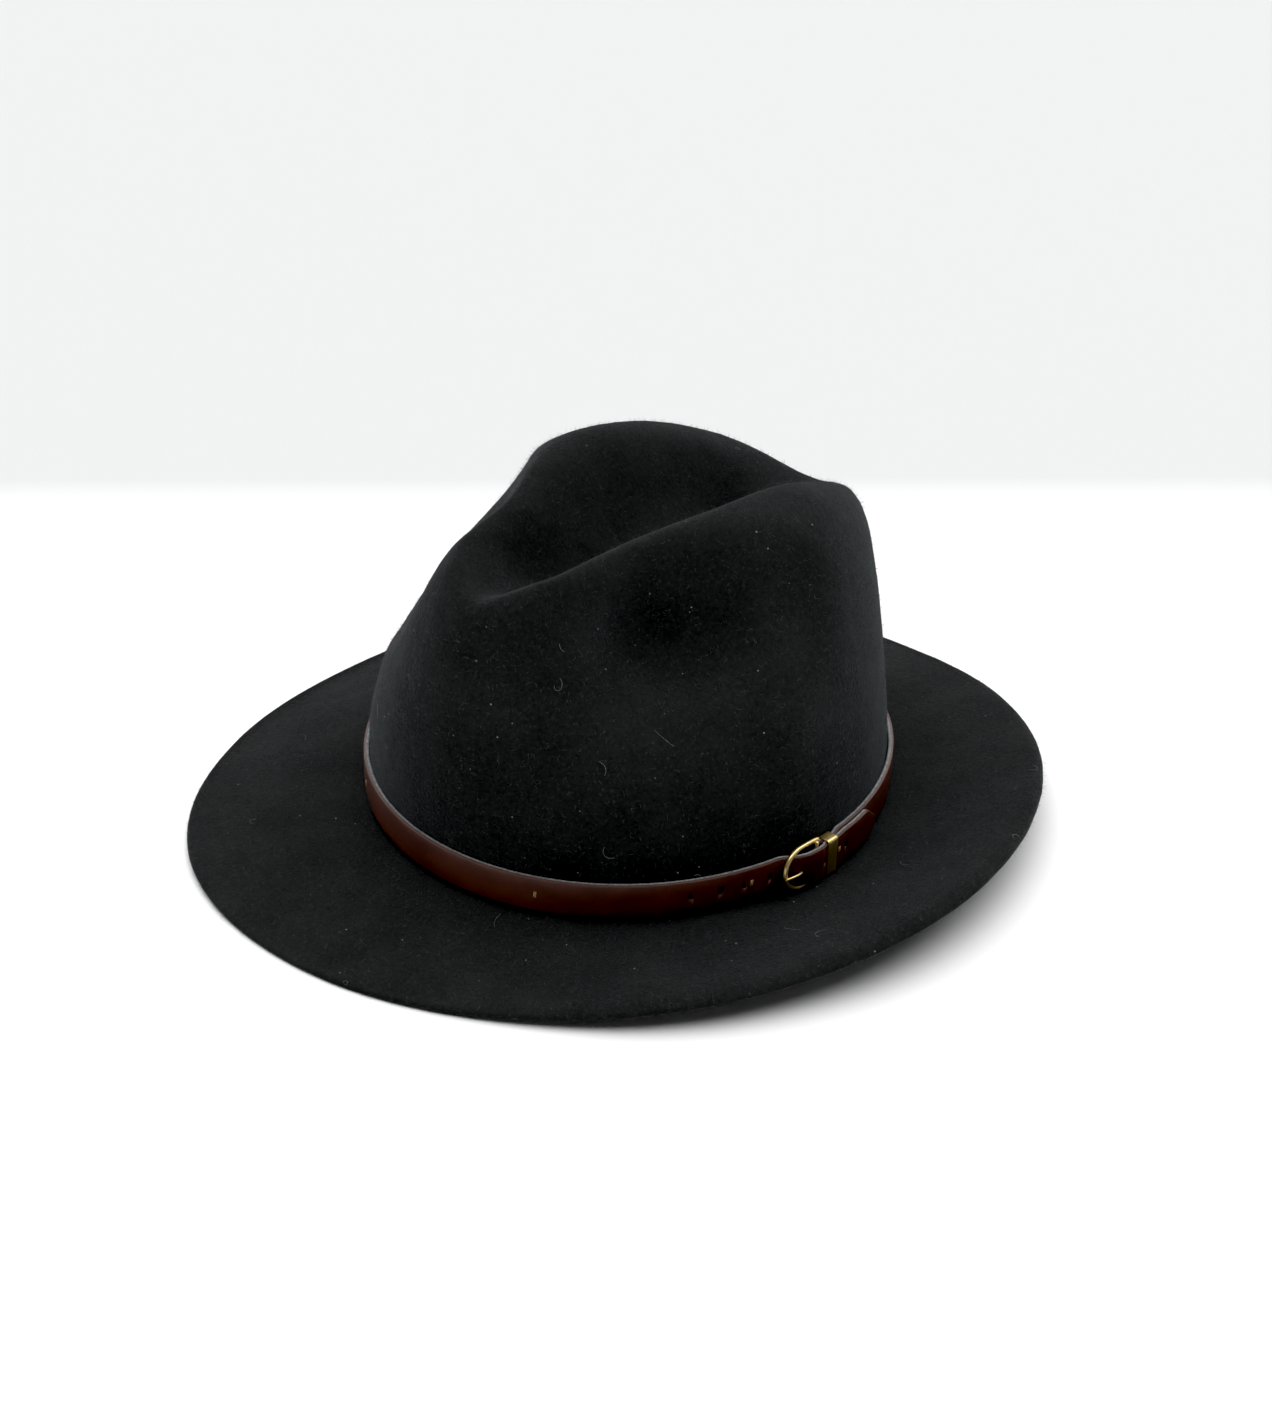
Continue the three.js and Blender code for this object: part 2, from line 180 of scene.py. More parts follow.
# Where the lips' shaping rises or falls, as shares of the way from a dent's middle to its lip
SUNK_RIM = (1.03, 0.7)
SUNK_CORE = (-0.6, 0.5)
LIP_INNER = (0.82, 1.03)
LIP_OUTER = (2.3, 1.08)
LIP_ENDS = (1.2, 0.6)

# Radii, depth and lift of the fibres and the loose threads, in metres, the fibres in a tuft, the points
# of a loose thread, and how far from the middle the crown's felt reaches, in metres
FIBRE_ROOT_RADIUS = 0.000038
FIBRE_TIP_RADIUS = 0.000014
FIBRE_SUNK = 0.0001
TUFT_SIZE = 200
LINT_RADIUS = 0.000045
LINT_LIFT = 0.00012
LINT_POINTS = 9
CROWN_REACH = 0.1

# The camera, fitted to the brim's and the crown's outline
CAMERA_AZIMUTH = math.radians(43.904)
CAMERA_ELEVATION = math.radians(31.7606)
CAMERA_DISTANCE = 0.89981
CAMERA_HEADING = math.radians(43.7213)
CAMERA_PITCH = math.radians(29.8044)
CAMERA_ROLL = math.radians(-0.1856)
SENSOR = 36.0
IMAGE_HEIGHT = 1404
FOCAL_PIXELS = 2400.2

# The stage, with its lengths in metres
WALL_HEIGHT = 0.7
WALL_GLOW_STRENGTH = 0.9
ROUND_FACES = 96
HORIZON_SOFTNESS = 0.03
LAMP_HEIGHT = 1.5
SIDE_LIGHT_LEAN = math.radians(74)
SIDE_LIGHT_SPREAD = math.radians(80)
FILL_COLOUR = (0.97, 0.985, 1.0, 1.0)


# Shared geometry

def oval_lengths(steps=1440):
    """Distances along the crown's foot from the front, at even angles."""
    lengths = [0.0]
    previous = Vector((0.0, -CROWN_HALF_LENGTH))
    for step in range(1, steps + 1):
        angle = 2 * math.pi * step / steps
        point = Vector((CROWN_HALF_WIDTH * math.sin(angle), -CROWN_HALF_LENGTH * math.cos(angle)))
        lengths.append(lengths[-1] + (point - previous).length)
        previous = point
    return lengths


OVAL_LENGTHS = oval_lengths()
LAP = OVAL_LENGTHS[-1]


def oval_angle(arc):
    """The angle from the front at a distance along the crown's foot."""
    arc = arc % LAP
    after = max(1, bisect_left(OVAL_LENGTHS, arc))
    low, high = OVAL_LENGTHS[after - 1], OVAL_LENGTHS[after]
    return 2 * math.pi * (after - 1 + (arc - low) / (high - low)) / (len(OVAL_LENGTHS) - 1)


def wall_at(along):
    """The crown's foot at a distance along the band, and the way out from it there."""
    angle = oval_angle(BAR_ARC + along)
    foot = Vector((CROWN_HALF_WIDTH * math.sin(angle), -CROWN_HALF_LENGTH * math.cos(angle), 0.0))
    out = Vector((CROWN_HALF_LENGTH * math.sin(angle), -CROWN_HALF_WIDTH * math.cos(angle), 0.0))
    return foot, out.normalized()


def band_point(along, offset, up):
    """A place by the band, in metres: distance along, out from the wall and up from its middle."""
    foot, out = wall_at(along)
    point = foot + out * offset
    point.z = BAND_LIFT + BAND_WIDTH / 2 + up
    return (SETTLE @ point) * MM


def bar_point(x, y, z):
    """A place by the buckle's bar, in metres: millimetres straight along the band, up and out."""
    foot, out = wall_at(0.0)
    side = Vector((-out.y, out.x, 0.0))
    point = foot + side * x + out * z
    point.z = BAND_LIFT + BAND_WIDTH / 2 + y
    return (SETTLE @ point) * MM


def standing_at(middle, way):
    """How an upright shape is placed to be centred on a point and to lean along a direction."""
    return Matrix.Translation(middle) @ way.to_track_quat("Z", "Y").to_matrix().to_4x4()


def smooth_rows(rows, key, at):
    """A column of a table at any distance, on a smooth curve that never overshoots its rows."""
    if at <= rows[0]["along"]:
        return rows[0][key]
    for low, high in zip(rows, rows[1:]):
        if at <= high["along"]:
            t = (at - low["along"]) / (high["along"] - low["along"])
            t += (t * t * (3 - 2 * t) - t) * high["ease"]
            return low[key] + (high[key] - low[key]) * t
    return rows[-1][key]


def loop_edges(bm, loop):
    """The edges that join a closed loop of vertices."""
    return [bm.edges.get((loop[i], loop[i - 1])) for i in range(len(loop))]


def extruded(bm, loop):
    """Extrudes a closed loop of vertices and returns the new loop in the same order."""
    geometry = bmesh.ops.extrude_edge_only(bm, edges=loop_edges(bm, loop))["geom"]
    made = {item for item in geometry if isinstance(item, bmesh.types.BMVert)}
    return [next(e.other_vert(v) for e in v.link_edges if e.other_vert(v) in made) for v in loop]


def close_loop(bm, loop):
    """Closes a loop of vertices with one face."""
    bmesh.ops.edgeloop_fill(bm, edges=loop_edges(bm, loop))


def sweep(bm, rings, closed=False):
    """Extrudes a loop through rings of points, and closes it on itself or with end faces."""
    first = bmesh.ops.create_circle(bm, segments=len(rings[0]), radius=1.0)["verts"]
    for vert, point in zip(first, rings[0]):
        vert.co = point
    loops = [first]
    for ring in rings[1:]:
        loop = extruded(bm, loops[-1])
        for vert, point in zip(loop, ring):
            vert.co = point
        loops.append(loop)
    if closed:
        edges = loop_edges(bm, first) + loop_edges(bm, loops[-1])
        bmesh.ops.bridge_loops(bm, edges=edges)
    else:
        close_loop(bm, first)
        close_loop(bm, loops[-1])
    return loops


def tube_rings(points, radii, sides):
    """Round rings along a run of points, each turned as little as possible from the last."""
    rings = []
    across = None
    for i, point in enumerate(points):
        ahead = points[min(i + 1, len(points) - 1)] - points[max(i - 1, 0)]
        ahead.normalize()
        if across is None:
            across = ahead.orthogonal().normalized()
        across = (across - ahead * across.dot(ahead)).normalized()
        other = ahead.cross(across)
        turns = [2 * math.pi * k / sides for k in range(sides)]
        rings.append([point + (across * math.cos(a) + other * math.sin(a)) * radii[i] for a in turns])
    return rings


def smooth_run(points, steps):
    """Points on a smooth curve through a few given ones."""
    run = []
    for i in range(len(points) - 1):
        a = points[max(i - 1, 0)]
        b, c = points[i], points[i + 1]
        d = points[min(i + 2, len(points) - 1)]
        for k in range(steps):
            t = k / steps
            run.append(b + 0.5 * t * (c - a + t * (2 * a - 5 * b + 4 * c - d + t * (3 * (b - c) + d - a))))
    run.append(points[-1].copy())
    return run


def rounded_end(radius, steps, length):
    """Radii of a wire whose last stretch rounds off over its own radius."""
    radii = [radius] * length
    for i in range(1, steps + 1):
        radii[-i] = radius * math.sqrt(1 - ((steps - i + 1) / (steps + 0.3)) ** 2)
    return radii


def new_object(name, bm, materials=()):
    """Puts a built mesh into the scene as an object."""
    mesh = bpy.data.meshes.new(name)
    bm.to_mesh(mesh)
    bm.free()
    for material in materials:
        mesh.materials.append(material)
    item = bpy.data.objects.new(name, mesh)
    bpy.context.scene.collection.objects.link(item)
    return item


def shade_smooth(mesh):
    """Shades all the faces of a mesh smooth."""
    mesh.polygons.foreach_set("use_smooth", [True] * len(mesh.polygons))


def make_piece(name, bm, materials, nodes=(), smooth=True, swept=True):
    """Makes a finished object of a mesh, riding on the hat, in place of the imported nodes.

    The faces of a swept mesh are turned outwards first.
    """
    if swept:
        bmesh.ops.recalc_face_normals(bm, faces=bm.faces)
    piece = new_object(name, bm, materials)
    if smooth:
        shade_smooth(piece.data)
    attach(piece, "root")
    if nodes:
        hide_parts(*nodes)
    return piece


def apply_modifiers(piece):
    """Bakes a piece's modifiers into its mesh."""
    graph = bpy.context.evaluated_depsgraph_get()
    finished = bpy.data.meshes.new_from_object(piece.evaluated_get(graph))
    piece.modifiers.clear()
    old = piece.data
    piece.data = finished
    finished.name = piece.name
    bpy.data.meshes.remove(old)


# Shared material nodes

def new_surface(name, **values):
    """A material with a Principled shader whose even values are set on its own sockets."""
    material = bpy.data.materials.new(name)
    material.use_nodes = True
    shader = material.node_tree.nodes["Principled BSDF"]
    for socket, value in values.items():
        shader.inputs[socket.replace("_", " ")].default_value = value
    return material, material.node_tree, shader


def add_node(tree, kind, **values):
    """A node with some of its properties and sockets set."""
    node = tree.nodes.new(kind)
    for key, value in values.items():
        if hasattr(node, key):
            setattr(node, key, value)
        else:
            node.inputs[key].default_value = value
    return node


def object_place(tree):
    """The place on the object, in metres."""
    return add_node(tree, "ShaderNodeTexCoord").outputs["Object"]


def noise_value(tree, place, scale, detail=3.0, rough=0.5, distortion=0.0):
    """Noise with about as many lumps in a metre as the scale says."""
    node = add_node(
        tree, "ShaderNodeTexNoise", Scale=scale, Detail=detail, Roughness=rough, Distortion=distortion
    )
    tree.links.new(place, node.inputs["Vector"])
    return node.outputs["Fac"]


def remap(tree, value, low, high, to_low, to_high):
    """A value taken from one range to another, held at its ends."""
    node = add_node(tree, "ShaderNodeMapRange")
    for name, number in (("From Min", low), ("From Max", high), ("To Min", to_low), ("To Max", to_high)):
        node.inputs[name].default_value = number
    tree.links.new(value, node.inputs["Value"])
    return node.outputs["Result"]


def feed(tree, socket, value):
    """Links a node's output to a socket, or sets a number or a colour on it."""
    if isinstance(value, bpy.types.NodeSocket):
        tree.links.new(value, socket)
    elif isinstance(value, (int, float)):
        socket.default_value = value
    else:
        socket.default_value = (*value[:3], 1.0)


def combine(tree, operation, first, second):
    """Two values, or a value and a number, joined by a maths operation."""
    node = add_node(tree, "ShaderNodeMath", operation=operation)
    feed(tree, node.inputs[0], first)
    feed(tree, node.inputs[1], second)
    return node.outputs[0]


def weighted(tree, first, first_share, second, second_share):
    """The sum of two values, each times its share."""
    first = combine(tree, "MULTIPLY", first, first_share)
    return combine(tree, "ADD", first, combine(tree, "MULTIPLY", second, second_share))


def mix_colours(tree, amount, first, second):
    """A colour between two, each a colour or another node's output."""
    node = add_node(tree, "ShaderNodeMix", data_type="RGBA")
    tree.links.new(amount, node.inputs["Factor"])
    feed(tree, node.inputs[6], first)
    feed(tree, node.inputs[7], second)
    return node.outputs[2]


def tint(tree, shader, value, low, high, first, second):
    """Colours a surface from one colour to another as a value rises from low to high."""
    shade = remap(tree, value, low, high, 0.0, 1.0)
    tree.links.new(mix_colours(tree, shade, first, second), shader.inputs["Base Color"])


def add_bump(tree, shader, height, distance, strength=1.0):
    """Bumps in the surface, as high as the distance where the value is one."""
    node = add_node(tree, "ShaderNodeBump", Strength=strength, Distance=distance)
    tree.links.new(height, node.inputs["Height"])
    tree.links.new(node.outputs["Normal"], shader.inputs["Normal"])


def black_felt(settings):
    """Matt black wool felt: mottled, softly fibrous, with grey specks of lint."""
    material, tree, shader = new_surface(
        "black_felt",
        Roughness=1.0,
        Specular_IOR_Level=0.05,
        Sheen_Weight=settings.sheen,
        Sheen_Roughness=0.25,
        Sheen_Tint=(0.86, 0.93, 1.0, 1.0),
    )
    place = object_place(tree)
    fibres = noise_value(tree, place, 750.0, detail=5.0, rough=0.7, distortion=0.6)
    patches = noise_value(tree, place, 42.0, detail=4.0, rough=0.6)
    mottle = weighted(tree, fibres, 0.65, patches, 0.35)
    shade = remap(tree, mottle, 0.38, 0.66, 0.0, 1.0)
    felt = mix_colours(tree, shade, settings.dark, settings.light)
    lint = add_node(tree, "ShaderNodeTexVoronoi", Scale=260.0)
    tree.links.new(place, lint.inputs["Vector"])
    spot = remap(tree, lint.outputs["Distance"], 0.05, 0.09, 1.0, 0.0)
    split = add_node(tree, "ShaderNodeSeparateColor")
    tree.links.new(lint.outputs["Color"], split.inputs["Color"])
    few = remap(tree, split.outputs["Red"], 0.80, 1.0, 0.0, 1.0)
    speck = combine(tree, "MULTIPLY", spot, few)
    tree.links.new(mix_colours(tree, speck, felt, settings.lint), shader.inputs["Base Color"])
    hairs = noise_value(tree, place, 1900.0, detail=3.0, rough=0.6, distortion=1.2)
    add_bump(tree, shader, weighted(tree, fibres, 1.0, hairs, 0.5), 0.00045, strength=0.8)
    return material


def wool_fuzz(settings):
    """The single wool fibres that stand out of the felt."""
    material, tree, shader = new_surface("wool_fuzz", Roughness=1.0, Specular_IOR_Level=0.2)
    shade = noise_value(tree, object_place(tree), 300.0)
    tint(tree, shader, shade, 0.35, 0.65, settings.light, settings.fuzz)
    return material


def pale_lint(settings):
    """Loose pale threads and hairs that lie on the felt."""
    material, tree, shader = new_surface("pale_lint", Roughness=0.9)
    shade = noise_value(tree, object_place(tree), 500.0)
    tint(tree, shader, shade, 0.3, 0.7, settings.fuzz, settings.lint)
    return material


def band_leather(settings):
    """Smooth dark red-brown leather with a fine grain, pores and a soft shine."""
    material, tree, shader = new_surface(
        "band_leather", Specular_IOR_Level=0.45, Coat_Weight=0.15, Coat_Roughness=0.3
    )
    place = object_place(tree)
    clouds = noise_value(tree, place, 60.0, detail=4.0, rough=0.6)
    grain = noise_value(tree, place, 1400.0, detail=4.0, rough=0.6)
    shade = weighted(tree, clouds, 0.7, grain, 0.3)
    tint(tree, shader, shade, 0.36, 0.64, settings.leather_dark, settings.leather_light)
    tree.links.new(remap(tree, grain, 0.3, 0.7, 0.34, 0.5), shader.inputs["Roughness"])
    cells = add_node(tree, "ShaderNodeTexVoronoi", Scale=1300.0, feature="DISTANCE_TO_EDGE")
    tree.links.new(place, cells.inputs["Vector"])
    creases = remap(tree, cells.outputs["Distance"], 0.0, 0.12, 0.0, 1.0)
    add_bump(tree, shader, weighted(tree, creases, 0.4, grain, 1.0), 0.00008, strength=0.7)
    return material


def raw_edge(settings):
    """The band's pale cut edge, fibrous and matt."""
    material, tree, shader = new_surface("raw_edge", Roughness=0.95, Specular_IOR_Level=0.2)
    fibres = noise_value(tree, object_place(tree), 1100.0, detail=5.0, rough=0.65)
    tint(tree, shader, fibres, 0.35, 0.65, settings.edge_dark, settings.edge_light)
    add_bump(tree, shader, fibres, 0.0002, strength=0.8)
    return material


def aged_brass(settings):
    """Satin brass, a little duller where it has tarnished, with fine scratches."""
    material, tree, shader = new_surface("aged_brass", Metallic=1.0)
    place = object_place(tree)
    tarnish = noise_value(tree, place, 260.0, detail=5.0, rough=0.65)
    tint(tree, shader, tarnish, 0.42, 0.62, settings.brass_bright, settings.brass_dull)
    tree.links.new(remap(tree, tarnish, 0.4, 0.65, 0.28, 0.45), shader.inputs["Roughness"])
    stretch = add_node(tree, "ShaderNodeMapping")
    stretch.inputs["Scale"].default_value = (1.0, 1.0, 9.0)
    tree.links.new(place, stretch.inputs["Vector"])
    scratches = noise_value(tree, stretch.outputs["Vector"], 900.0, detail=3.0)
    add_bump(tree, shader, scratches, 0.00001, strength=0.5)
    return material


def tan_thread(settings):
    """Waxed tan thread."""
    material, tree, shader = new_surface("tan_thread", Roughness=0.6, Sheen_Weight=0.2)
    twist = noise_value(tree, object_place(tree), 1800.0, detail=2.0)
    tint(tree, shader, twist, 0.4, 0.6, settings.thread_dark, settings.thread_light)
    add_bump(tree, shader, twist, 0.00015)
    return material


# Settings

def colour_setting(name, description, default):
    """A colour in the panel."""
    return FloatVectorProperty(
        name=name, description=description, default=default, subtype="COLOR", size=3, min=0.0, max=1.0
    )


def amount_setting(name, description, default, **limits):
    """A plain number in the panel, never below zero."""
    return FloatProperty(name=name, description=description, default=default, min=0.0, **limits)


def count_setting(name, description, default, **limits):
    """A whole number in the panel."""
    return IntProperty(name=name, description=description, default=default, **limits)


def length_setting(name, description, default, **limits):
    """A length in the panel, in metres."""
    return FloatProperty(
        name=name, description=description, default=default, unit="LENGTH", subtype="DISTANCE", **limits
    )


def angle_setting(name, description, degrees, **limits):
    """An angle in the panel."""
    return FloatProperty(
        name=name, description=description, default=math.radians(degrees),
        unit="ROTATION", subtype="ANGLE", **limits,
    )


class FeltSettings(bpy.types.PropertyGroup):
    """Sizes and colours of the felt and what stands out of it."""

    dark: colour_setting("Dark felt", "Colour in the felt's darker patches", (0.0128, 0.0133, 0.0134))
    light: colour_setting("Light felt", "Colour in the felt's lighter patches", (0.0250, 0.0257, 0.0257))
    fuzz: colour_setting("Fuzz", "Colour of the fibres that stand out", (0.125, 0.13, 0.132))
    lint: colour_setting("Lint", "Colour of the specks of lint", (0.30, 0.31, 0.31))
    sheen: amount_setting("Sheen", "How strongly the fuzz lights up at the edges", 0.17, max=1.0)
    unevenness: length_setting(
        "Unevenness", "How far the hand-made felt strays from its even shape", 0.00035, min=0.0, max=0.002
    )
    fibres: count_setting(
        "Fibres", "How many fibres stand out of the crown, and as many of the brim", 23000, min=0
    )
    fibre_length: length_setting("Fibre length", "The longest of those fibres", 0.0021, min=0.0)
    loose_threads: count_setting("Loose threads", "How many curled threads of lint", 34, min=0)


class BandSettings(bpy.types.PropertyGroup):
    """Sizes and colours of the leather band and its thread."""

    thickness: length_setting("Thickness", "Thickness of the leather with its backing", 0.002, min=0.0005)
    edge_round: length_setting("Edge rounding", "Radius of the band's worn edges", 0.00045, min=0.0)
    leather_dark: colour_setting(
        "Dark leather", "Colour in the leather's darker patches", (0.044, 0.0115, 0.0068)
    )
    leather_light: colour_setting(
        "Light leather", "Colour in the leather's lighter patches", (0.082, 0.026, 0.0145)
    )
    edge_dark: colour_setting("Dark edge", "Colour in the raw edge's darker fibres", (0.13, 0.137, 0.137))
    edge_light: colour_setting("Light edge", "Colour in the raw edge's lighter fibres", (0.36, 0.375, 0.375))
    thread_dark: colour_setting("Dark thread", "Colour in the thread's twist", (0.28, 0.16, 0.05))
    thread_light: colour_setting("Light thread", "Colour on the thread's strands", (0.62, 0.42, 0.18))


class BuckleSettings(bpy.types.PropertyGroup):
    """Colours and fineness of the brass buckle."""

    brass_bright: colour_setting("Bright brass", "Colour of the polished brass", (0.92, 0.70, 0.32))
    brass_dull: colour_setting("Dull brass", "Colour of the tarnished brass", (0.70, 0.54, 0.24))
    wire_sides: count_setting("Wire sides", "Faces round each wire", 16, min=6, max=48)


class StageSettings(bpy.types.PropertyGroup):
    """The floor and the light."""

    floor_radius: length_setting("Floor radius", "How far the pale floor reaches", 8.0, min=1.0)
    # Where the floor's painted shade begins behind the hat
    horizon: length_setting("Horizon", "How far behind the hat the floor takes a softer tone", 0.25)
    floor_near: colour_setting("Near floor", "Colour of the floor round the hat", (0.93, 0.93, 0.93))
    # Painted shade: the greyer colour of the floor behind the hat
    far_floor_shade: colour_setting("Far floor shade", "Colour of the floor behind the hat", (0.655, 0.662, 0.662))
    # Painted light: the low wall's colour, which it also glows with
    wall_glow: colour_setting("Wall", "Colour of the low wall round the floor", (0.86, 0.87, 0.87))
    light_spread: angle_setting(
        "Light spread", "How wide the soft light is seen from the hat", 100, min=0.0, max=math.pi
    )
    light_back: angle_setting(
        "Light behind", "How far the light leans from overhead to behind the hat", 21,
        min=0.0, max=math.radians(85),
    )
    light_turn: angle_setting("Light turn", "The way the light comes from, about the upright", 32)
    light_power: amount_setting("Light power", "Strength of the soft light", 4.25)
    side_power: amount_setting("Side light power", "Strength of the low light on each side", 0.3)
    black_point: amount_setting("Black point", "Light below which all is black", 0.0085, max=0.1)
    fill: amount_setting("Fill", "Strength of the even light all round", 0.015)


# The felt

def welded_copy(node):
    """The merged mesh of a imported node, with its loose triangles joined to four-sided faces."""
    bm = bmesh.new()
    bm.from_mesh(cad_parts[node].data)
    bmesh.ops.remove_doubles(bm, verts=bm.verts, dist=0.00001)
    bmesh.ops.join_triangles(
        bm, faces=bm.faces, cmp_seam=False, cmp_sharp=False, cmp_uvs=False, cmp_vcols=False,
        cmp_materials=False, angle_face_threshold=math.pi, angle_shape_threshold=math.pi,
    )
    for layer in list(bm.loops.layers.uv):
        bm.loops.layers.uv.remove(layer)
    return bm


def lay_uneven(mesh, most):
    """Moves the felt's skin in and out a little, as worked felt is, and shapes the dents' lips."""
    skin = [(vert.co.copy(), vert.normal.copy()) for vert in mesh.vertices]
    moved = []
    for place, out in skin:
        broad = noise.fractal(place * 38.0, 1.0, 2.0, 2)
        fine = noise.fractal(place * 150.0 + Vector((7.0, 3.0, 5.0)), 0.9, 2.1, 2)
        free = min(1.0, max(0.0, place.z / 0.004))
        push, inward = lip_push(place)
        moved.extend(place + out * most * free * (0.75 * broad + 0.35 * fine) + inward * push)
    mesh.vertices.foreach_set("co", moved)
    mesh.update()


def smooth_step(low, high, value):
    """Rises from 0 to 1 between two values, or falls where the second is smaller."""
    t = min(1.0, max(0.0, (value - low) / (high - low)))
    return t * t * (3 - 2 * t)


def lip_push(place):
    """How far, in metres, a place on the crown's wall moves for the dents' lips, and the way inwards."""
    spot = UNSETTLE @ (place / MM)
    if spot.z < DENT_FLOOR or spot.z > DENT_TOP + DENT_FADE:
        return 0.0, Vector()
    angle = math.degrees(math.atan2(spot.x / CROWN_HALF_WIDTH, -spot.y / CROWN_HALF_LENGTH))
    push = 0.0
    for lip in DENT_LIPS:
        turn = (angle - lip["at"]) * math.copysign(1, lip["at"])
        wide = lip["back"] if turn > 0 else lip["front"]
        ring = math.hypot(turn / wide, (spot.z - lip["high"]) / lip["tall"])
        sunk = smooth_step(*SUNK_RIM, ring) * smooth_step(*SUNK_CORE, ring)
        edge = smooth_step(*LIP_INNER, ring) * smooth_step(*LIP_OUTER, ring)
        edge *= smooth_step(*LIP_ENDS, abs(turn) / wide)
        push += lip["inward"] * sunk - lip["outward"] * edge
    push *= smooth_step(DENT_TOP + DENT_FADE, DENT_TOP - DENT_EASE, spot.z)
    return push * MM, Vector((-place.x, -place.y, 0.0)).normalized()


class FEDORA_OT_felt(bpy.types.Operator):
    """Make the hat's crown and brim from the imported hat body"""

    bl_idname = "fedora.felt"
    bl_label = "Felt Hat"

    def execute(self, context):
        settings = context.scene.fedora_felt
        felt = welded_copy("hat_body")
        piece = make_piece("felt_hat", felt, [black_felt(settings)], ["hat_body"], swept=False)
        smooth = piece.modifiers.new("smooth", "SUBSURF")
        smooth.levels = 2
        smooth.render_levels = 2
        apply_modifiers(piece)
        lay_uneven(piece.data, settings.unevenness)
        return {"FINISHED"}


class SurfacePicker:
    """Picks random places on the felt's outer skin, evenly by area."""

    def __init__(self, mesh, chance, nearest=0.0, farthest=1.0):
        """Lists the outer faces whose middles lie between two distances from the hat's middle."""
        self.mesh = mesh
        self.chance = chance
        self.faces = []
        self.sums = []
        total = 0.0
        for face in mesh.polygons:
            distance = face.center.to_2d().length
            if nearest <= distance < farthest and not self.is_inside(face, distance):
                total += face.area
                self.faces.append(face)
                self.sums.append(total)

    def is_inside(self, face, distance):
        """True for the faces that look down into the hat or at the table."""
        inward = face.center.to_2d().dot(face.normal.to_2d()) < 0 and face.center.z < 0.06
        return face.normal.z < -0.25 or (inward and distance < CROWN_REACH)

    def pick(self):
        """A place on the felt and the way out from it."""
        found = bisect_left(self.sums, self.chance.random() * self.sums[-1])
        face = self.faces[min(found, len(self.faces) - 1)]
        corners = [self.mesh.vertices[k].co for k in face.vertices]
        weights = [self.chance.random() + 0.05 for _ in corners]
        whole = sum(weights)
        place = sum((c * (w / whole) for c, w in zip(corners, weights)), Vector())
        return place, face.normal


def any_direction(chance):
    """A random unit vector."""
    while True:
        vector = Vector((chance.uniform(-1, 1), chance.uniform(-1, 1), chance.uniform(-1, 1)))
        if 0.1 < vector.length < 1:
            return vector.normalized()


class FEDORA_OT_fuzz(bpy.types.Operator):
    """Make the short wool fibres that stand out of the felt"""

    bl_idname = "fedora.fuzz"
    bl_label = "Wool Fuzz"

    def execute(self, context):
        settings = context.scene.fedora_felt
        chance = random.Random(11)
        mesh = bpy.data.objects["felt_hat"].data
        material = wool_fuzz(settings)
        for name, nearest, farthest in (("crown_fuzz", 0.0, CROWN_REACH), ("brim_fuzz", CROWN_REACH, 1.0)):
            picker = SurfacePicker(mesh, chance, nearest, farthest)
            fuzz = self.grow(picker, chance, settings)
            make_piece(name, fuzz, [material], smooth=False, swept=False)
        return {"FINISHED"}

    def grow(self, picker, chance, settings):
        """A mesh of thin tapered fibres, built in tufts to keep each step small."""
        whole = bmesh.new()
        tuft_mesh = bpy.data.meshes.new("tuft")
        for _ in range(settings.fibres // TUFT_SIZE):
            tuft = bmesh.new()
            for _ in range(TUFT_SIZE):
                place, out = picker.pick()
                lean = (out * chance.uniform(0.4, 1.2) + any_direction(chance) * 0.85).normalized()
                if lean.dot(out) < 0.12:
                    lean = (lean + out * 0.4).normalized()
                length = settings.fibre_length * chance.uniform(0.3, 1.0)
                middle = place + lean * (length * 0.5 - FIBRE_SUNK)
                bmesh.ops.create_cone(
                    tuft, cap_ends=True, segments=3, radius1=FIBRE_ROOT_RADIUS, radius2=FIBRE_TIP_RADIUS,
                    depth=length, matrix=standing_at(middle, lean),
                )
            tuft.to_mesh(tuft_mesh)
            tuft.free()
            whole.from_mesh(tuft_mesh)
        bpy.data.meshes.remove(tuft_mesh)
        return whole


class FEDORA_OT_lint(bpy.types.Operator):
    """Make the loose curled threads of lint that lie on the felt"""

    bl_idname = "fedora.lint"
    bl_label = "Loose Lint"

    def execute(self, context):
        settings = context.scene.fedora_felt
        chance = random.Random(5)
        felt = bpy.data.objects["felt_hat"]
        picker = SurfacePicker(felt.data, chance)
        bm = bmesh.new()
        for _ in range(settings.loose_threads):
            place, out = picker.pick()
            heading = any_direction(chance)
            curl = chance.uniform(-1.6, 1.6)
            step = chance.uniform(0.0004, 0.0011)
            points = []
            spot = place.copy()
            for _ in range(LINT_POINTS):
                found, nearest, normal, _face = felt.closest_point_on_mesh(spot)
                if not found:
                    raise RuntimeError("A loose thread has no felt under it.")
                points.append(nearest + normal * LINT_LIFT)
                heading = (heading - normal * heading.dot(normal)).normalized()
                heading.rotate(Matrix.Rotation(curl * chance.uniform(0.2, 0.6), 3, normal))
                spot = nearest + heading * step
            sweep(bm, tube_rings(points, [LINT_RADIUS] * len(points), 4))
        make_piece("loose_lint", bm, [pale_lint(settings)])
        return {"FINISHED"}


# The band

